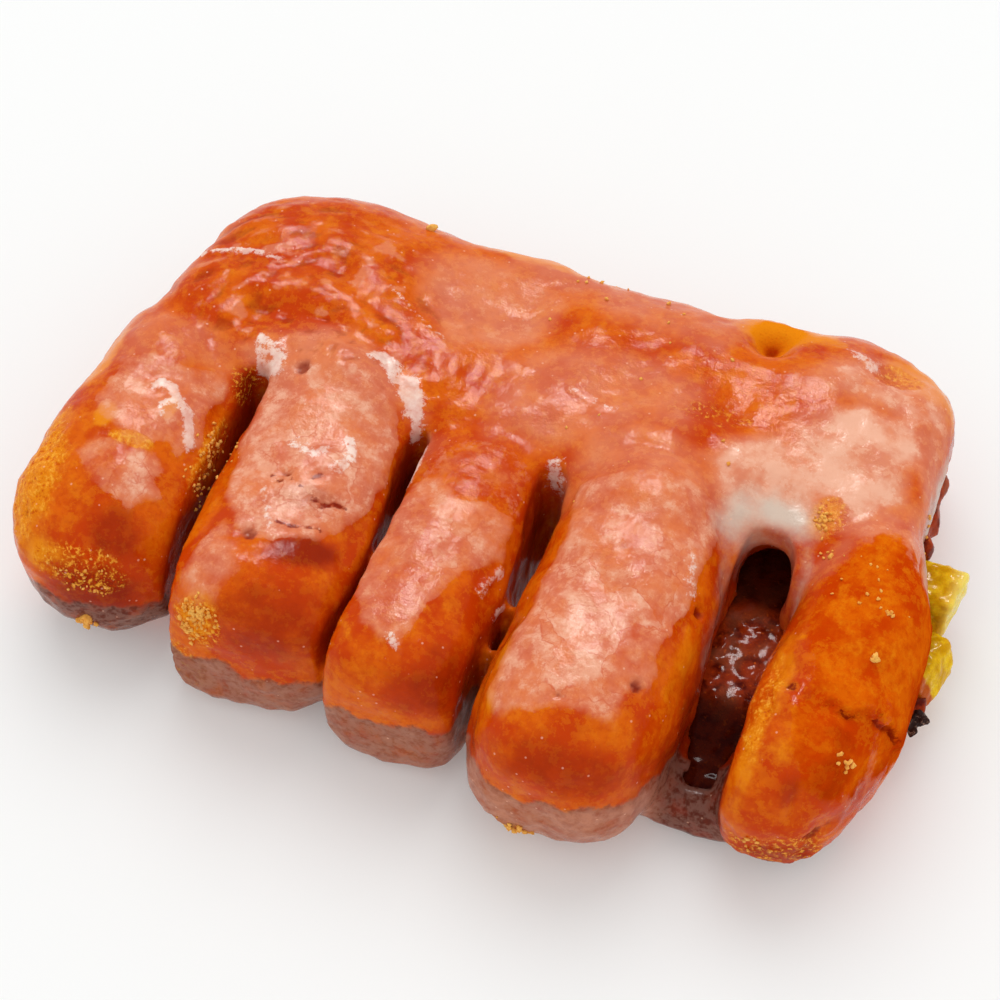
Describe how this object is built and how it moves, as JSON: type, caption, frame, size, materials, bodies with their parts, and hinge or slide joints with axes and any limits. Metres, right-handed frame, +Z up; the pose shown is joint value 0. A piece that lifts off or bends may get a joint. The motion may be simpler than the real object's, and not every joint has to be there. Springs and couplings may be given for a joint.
{
  "type": "bear claw pastry",
  "caption": "Glazed fried pastry shaped like a paw: a folded slab slit into fat fingers, with dark apple filling and diced apple showing at its open side.",
  "frame": {"origin": "on the flat underside, below the middle of the pastry at the roots of the fingers", "axes": "+X across the fingers towards the open side with the apple pieces, +Y towards the folded back, fingers point to -Y, +Z up"},
  "size_m": [0.1622, 0.1089, 0.0382],
  "materials": {
    "crust": "fried crust under a thin clear sugar glaze",
    "apple_filling": "wet, dark, glossy",
    "apple": "moist cooked fruit"
  },
  "bodies": {
    "root": {"dough": "crust", "filling": "apple_filling", "apple_upper": "apple", "apple_lower": "apple"}
  },
  "joints": []
}
